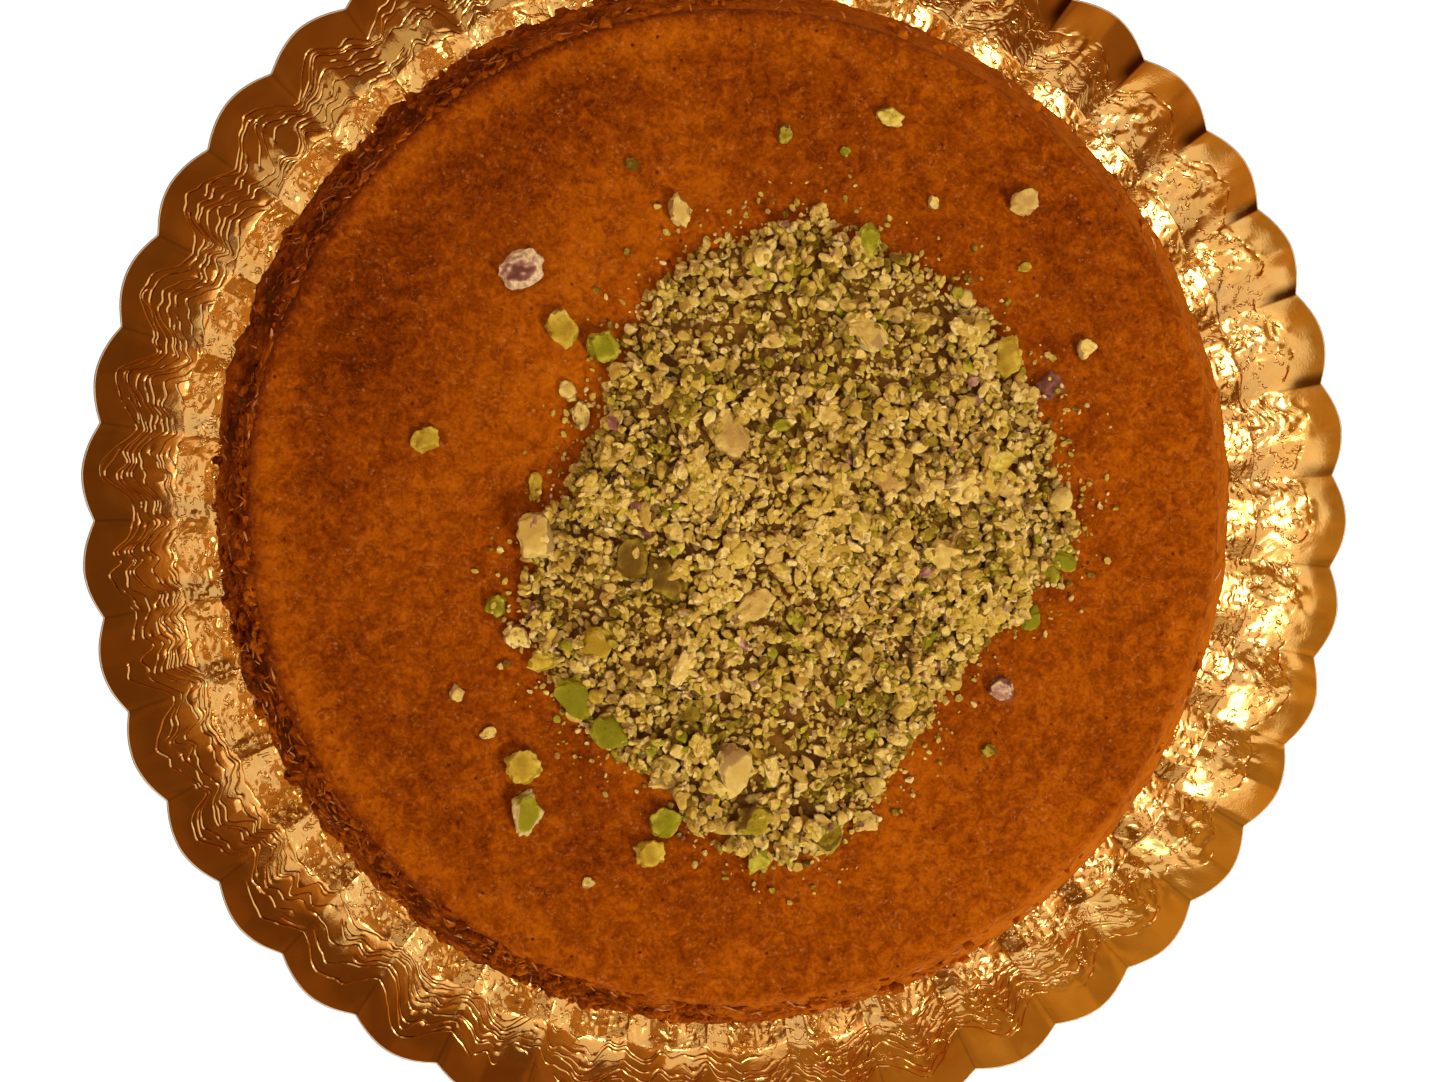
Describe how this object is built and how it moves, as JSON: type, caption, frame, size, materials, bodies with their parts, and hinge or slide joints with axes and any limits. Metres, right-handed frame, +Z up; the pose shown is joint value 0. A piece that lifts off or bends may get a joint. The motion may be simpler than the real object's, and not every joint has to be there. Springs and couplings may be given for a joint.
{
  "type": "kunafa on a scalloped gold tray",
  "caption": "Round toasted kunafa topped with a heap of chopped pistachio, resting on a scalloped gold foil board tray.",
  "frame": {"origin": "centre of the tray's flat underside", "axes": "+Z up through the kunafa, +X to the right and +Y to the top of the picture; -Z is the face that the tray rests on"},
  "size_m": [0.2978, 0.298, 0.0254],
  "materials": {
    "gold_foil": "mirror-bright embossed gold foil on paperboard",
    "kunafa_crust": "toasted crumb, satin with syrup",
    "pistachio": "matte chopped nut, pale yellow-green",
    "pistachio_green": "matte chopped nut, bright green",
    "pistachio_yellow": "matte chopped nut, mustard yellow",
    "pistachio_skin": "matte purple-brown nut skin"
  },
  "bodies": {
    "root": {"tray": "gold_foil", "kunafa": "kunafa_crust", "pistachio_heap": "pistachio", "nut_purple_skin": "pistachio_skin", "nut_block": "pistachio", "nut_wedge": "pistachio_yellow", "nut_green": "pistachio_green", "nut_drop": "pistachio", "nut_leaf": "pistachio_green", "nut_pale": "pistachio", "nut_stub": "pistachio"}
  },
  "joints": []
}
